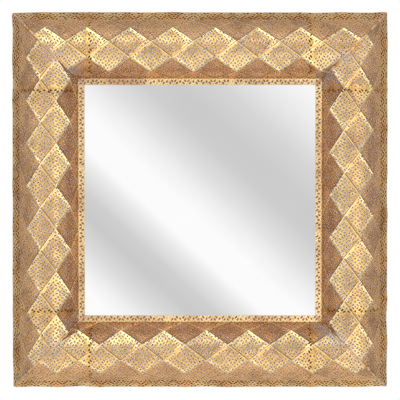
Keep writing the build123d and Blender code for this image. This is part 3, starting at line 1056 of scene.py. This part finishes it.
# the cross's reach and half its arm's width, and its depth, as shares of the head's radius
CROSS_MOUTH = (0.66, 0.15)
CROSS_FOOT = (0.42, 0.11)
CROSS_DEPTH = 0.45
SCREW_SHARP_ANGLE = 35
# profiles from the edge of the head's top to the tip, as (radius, height)
COUNTERSUNK = [
    (2.55, 0.0), (2.8, -0.12), (1.2, -1.7), (1.2, -7.4), (0.55, -8.5), (0.0, -9.0),
]
PAN_HEAD = [
    (2.3, 1.55), (2.85, 1.3), (3.2, 0.85), (3.3, 0.3), (3.3, 0.0), (1.6, 0.0), (1.6, -5.0),
    (0.0, -6.5),
]


def cross_screw(mesh, profile, crown, turn, lift):
    """Add a screw with a crosshead, whose top rises by crown to its middle."""
    edge, top = profile[0]

    def cross(reach, half_width):
        arm, half = edge * reach, edge * half_width
        corners = [(arm, half), (half, half), (half, arm)]
        return [
            (x * c - y * s, x * s + y * c)
            for c, s in ((1, 0), (0, 1), (-1, 0), (0, -1)) for x, y in corners
        ]

    def at(x, y, z):
        cosine, sine = math.cos(turn), math.sin(turn)
        return mesh.verts.new(lift(x * cosine - y * sine, x * sine + y * cosine, z))

    angles = [math.tau * k / SCREW_SIDES for k in range(SCREW_SIDES)]
    circle = [(math.cos(angle) * edge, math.sin(angle) * edge) for angle in angles]
    mouth = cross(*CROSS_MOUTH)
    points, triangles = cut_sheet(circle, [], [mouth])
    top_verts = [
        at(p.x, p.y, top + crown * (1 - (p.x * p.x + p.y * p.y) / edge ** 2)) for p in points
    ]
    for triangle in triangles:
        mesh.faces.new([top_verts[k] for k in triangle])

    def nearest(place):
        reach = [(point - Vector(place)).length for point in points]
        return top_verts[reach.index(min(reach))]

    rim = [nearest(place) for place in mouth]
    floor_ring = [at(x, y, top - edge * CROSS_DEPTH) for x, y in cross(*CROSS_FOOT)]
    for k in range(len(rim)):
        other = (k + 1) % len(rim)
        mesh.faces.new((rim[k], rim[other], floor_ring[other], floor_ring[k]))
    mesh.faces.new(floor_ring)
    ring = [nearest(place) for place in circle]
    for radius, height in profile[1:]:
        if radius:
            lower = [at(x / edge * radius, y / edge * radius, height) for x, y in circle]
        else:
            lower = [at(0, 0, height)] * SCREW_SIDES
        for k in range(SCREW_SIDES):
            other = (k + 1) % SCREW_SIDES
            corners = [ring[k], lower[k], lower[other], ring[other]]
            mesh.faces.new(corners if radius else [ring[k], lower[0], ring[other]])
        ring = lower


def screws_piece(name, node, build):
    """One piece of all the screws that build adds to a mesh, in place of a node."""
    mesh = bmesh.new()
    build(mesh)
    bmesh.ops.recalc_face_normals(mesh, faces=mesh.faces)
    data = bpy.data.meshes.new(name)
    mesh.to_mesh(data)
    mesh.free()
    data.shade_smooth()
    data.set_sharp_from_angle(angle=math.radians(SCREW_SHARP_ANGLE))
    finish_piece(add_object(name, data), "screw_steel", node)


def flange_screws(mesh):
    chance = random.Random("flange screws")
    for side in SIDE.values():
        for along in FLANGE_SCREW_PLACES:
            def lift(x, y, z):
                return side.place(Vector((along + x, FLANGE_SCREW_INSET + y, -z)))

            cross_screw(mesh, COUNTERSUNK, 0.0, chance.uniform(0, math.pi / 2), lift)


def hanger_screws(mesh):
    chance = random.Random("hanger screws")
    across, up, level = HANGER_SCREW_PLACE
    for sign in (-1, 1):
        def lift(x, y, z):
            return Vector((sign * across + x, z - level, up + y)) * MM

        cross_screw(mesh, PAN_HEAD, PAN_CROWN, chance.uniform(0, math.pi / 2), lift)


screws_piece("flange_screws_crosshead", "flange_screws", flange_screws)
screws_piece("hanger_screws_crosshead", "hanger_screws", hanger_screws)

# ------------------------------ floor, light and camera

# in metres
FLOOR_REACH = 8
FLOOR_LEVEL = -1.5
CAMERA_DISTANCE = 5.0
VIEW_WIDTH = 0.6936  # what the picture shows at the wall plane
SENSOR_WIDTH = 36.0
CAMERA_TILT = math.radians(2)
AIM = Vector((0, -0.005, 0))

corners = [
    (x * FLOOR_REACH, y * FLOOR_REACH, FLOOR_LEVEL)
    for x, y in ((-1, -1), (1, -1), (1, 1), (-1, 1))
]
floor_mesh = bpy.data.meshes.new("floor")
floor_mesh.from_pydata(corners, [], [(0, 1, 2, 3)])
floor = add_object("floor", floor_mesh)
n = Surface("floor")
n.set(
    Base_Color=n.ramp(n.noise(0.8, 2), (0.3, colour(236, 236, 238)), (0.7, colour(240, 240, 241))),
    Roughness=0.8,
)
# neither the gilt nor the glass reflects the floor
reflected = n.node("ShaderNodeLightPath").outputs["Is Glossy Ray"]
clear = n.node("ShaderNodeBsdfTransparent").outputs[0]
n.put(n.output.inputs[0], n.choose(reflected, n.shader.outputs[0], clear))
floor_mesh.materials.append(n.material)

# The world is white to the camera, a plain wash to dull surfaces, and a studio to shiny ones.
PHOTO_PIXELS = 400
PIXEL = VIEW_WIDTH / PHOTO_PIXELS / CAMERA_DISTANCE  # as a slope
TILT_PIXELS = 100.6  # by which the camera's tilt moves what the glass reflects
BAND_SLOPE = 1.08  # of the diagonal bands in the glass
BAND_SHIFT = -16  # pixels, of the bands from the picture's middle
BAND_SPAN = 520  # pixels that the bands' ramp covers
RIPPLE_PITCH = 0.6  # of the bands that are seen in the glass from aside, as a slope

world = bpy.data.worlds.new("studio")
bpy.context.scene.world = world
world.use_nodes = True
n = Nodes(world.node_tree)
east, back, up = n.axes(n.node("ShaderNodeTexCoord").outputs["Generated"])
front = n.math("MULTIPLY", back, -1.0)
facing = n.math("MULTIPLY_ADD", front, 0.5, 0.5)
# brightest in a ring round the viewer, falling off sideways and behind the mirror
glow = n.ramp(
    facing,
    (0.0, 0.48), (0.34, 0.48), (0.50, 0.48), (0.60, 0.56), (0.70, 0.96), (0.78, 1.16),
    (0.86, 1.08), (0.92, 0.80), (0.97, 0.64), (1.0, 0.61),
)
aside = n.math("ABSOLUTE", east)
glow = n.mix(n.ramp(aside, (0.75, 0.0), (1.0, 0.52)), glow, colour(112, 98, 88))
height = n.math("ABSOLUTE", up)
glow = n.mix(n.ramp(height, (0.75, 0.0), (1.0, 0.5)), glow, colour(190, 180, 170))
upward = n.ramp(
    n.math("MULTIPLY_ADD", up, 0.5, 0.5),
    (0.1, 1.40), (0.35, 1.23), (0.5, 1.03), (0.65, 0.87), (0.9, 0.84),
)
glow = n.mix(1.0, glow, upward, "MULTIPLY")
# what lights the plain surfaces, mostly from in front
wash = n.ramp(
    facing,
    (0.0, (0.62, 0.63, 0.68)), (0.5, (0.62, 0.63, 0.68)), (0.9, (3.6, 3.6, 4.3)),
    (1.0, (3.6, 3.6, 4.3)),
)
# soft diagonal bands that the glass shows from aside
depth = n.math("MAXIMUM", front, 0.2)
across = n.math("DIVIDE", east, depth)
rise = n.math("DIVIDE", up, depth)
slant = n.math("ADD", across, n.math("MULTIPLY", rise, BAND_SLOPE))
ripple = n.math("COSINE", n.math("MULTIPLY", slant, math.tau / RIPPLE_PITCH))
ripple = n.math("MULTIPLY_ADD", ripple, 0.28, 0.85)
# and that are dimmer low down at both sides
dim = n.ramp(n.math("ABSOLUTE", across), (0.7, 0.0), (0.95, 0.32))
dim = n.math("MULTIPLY", dim, n.ramp(n.math("MULTIPLY", rise, -1.0), (0.3, 0.0), (0.6, 1.0)))
ripple = n.math("MULTIPLY", ripple, n.math("SUBTRACT", 1.0, dim))
rippled = n.mix(1.0, glow, ripple, "MULTIPLY")
glow = n.mix(n.ramp(front, (0.35, 0.0), (0.5, 1.0)), glow, rippled)
# and the narrower ones that it shows from in front
slant = n.math("ADD", n.math("DIVIDE", slant, PIXEL), BAND_SLOPE * TILT_PIXELS + BAND_SHIFT)
band = n.ramp(
    n.math("MULTIPLY_ADD", slant, 1 / BAND_SPAN, 0.5),
    (0.05, 1.015), (0.125, 0.828), (0.20, 0.640), (0.24, 0.627), (0.278, 0.698), (0.335, 0.905),
    (0.39, 1.08), (0.43, 1.000), (0.507, 0.837), (0.583, 0.669), (0.64, 0.621), (0.70, 0.646),
    (0.774, 0.742), (0.889, 0.938),
    steps="CARDINAL",
)
studio = n.mix(n.ramp(front, (0.992, 0.0), (0.9952, 1.0)), glow, band)
path = n.node("ShaderNodeLightPath").outputs
seen = n.mix(path["Is Glossy Ray"], wash, studio)
soft = n.node("ShaderNodeBackground", {0: seen, 1: 1.0}).outputs[0]
white = n.node("ShaderNodeBackground", {0: (1, 1, 1, 1), 1: 1.0}).outputs[0]
n.node("ShaderNodeOutputWorld", {0: n.choose(path["Is Camera Ray"], soft, white)})


def aim(thing, place, target=(0, 0, 0)):
    thing.location = place
    line = Vector(target) - Vector(place)
    thing.rotation_euler = line.to_track_quat("-Z", "Y").to_euler()


def area_light(name, place, size, power):
    data = bpy.data.lights.new(name, "AREA")
    data.shape = "DISK"
    data.size = size
    data.energy = power
    aim(add_object(name, data), place)


area_light("front_upper_left", (-1.5, -3.0, 2.6), 2.6, 34)
area_light("front_lower_right", (1.4, -3.2, -1.0), 2.2, 14)

camera_data = bpy.data.cameras.new("camera")
camera_data.sensor_width = SENSOR_WIDTH
camera_data.lens = SENSOR_WIDTH * CAMERA_DISTANCE / VIEW_WIDTH
camera_data.clip_end = 100
camera = add_object("camera", camera_data)
back, up = CAMERA_DISTANCE * math.cos(CAMERA_TILT), CAMERA_DISTANCE * math.sin(CAMERA_TILT)
aim(camera, (0, -back, up), AIM)
bpy.context.scene.camera = camera
bpy.context.scene.view_settings.view_transform = "Standard"
